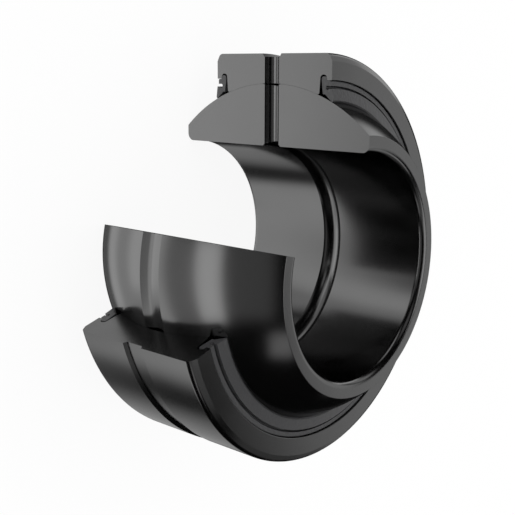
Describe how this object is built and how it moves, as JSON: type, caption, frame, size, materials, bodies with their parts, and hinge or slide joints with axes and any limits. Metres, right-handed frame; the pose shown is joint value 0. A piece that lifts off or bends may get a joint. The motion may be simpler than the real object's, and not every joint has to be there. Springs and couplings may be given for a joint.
{
  "type": "spherical plain bearing",
  "caption": "Spherical plain bearing cut open to show its section: a bored ball ring swivelling in a grooved outer ring, a rubber lip seal at each end.",
  "frame": {"origin": "centre of the sphere, on the bearing axis, halfway between the end faces", "axes": "+Z along the bearing axis, out of the upper end face; +Y in the plane of the main section, from the axis towards that section; +X square to the section plane, into the kept material"},
  "size_m": [0.054, 0.055, 0.032],
  "materials": {
    "ring_steel": "blackened satin steel",
    "seal_rubber": "matt"
  },
  "bodies": {
    "inner_body": {"inner_ring": "ring_steel"},
    "outer_body": {"outer_ring": "ring_steel", "upper_seal": "seal_rubber", "lower_seal": "seal_rubber"}
  },
  "joints": [
    {"name": "tilt", "type": "hinge", "parent": "inner_body", "child": "outer_body", "pos_m": [0, 0, 0], "axis": [1, 0, 0], "range_deg": [-17, 17]}
  ]
}
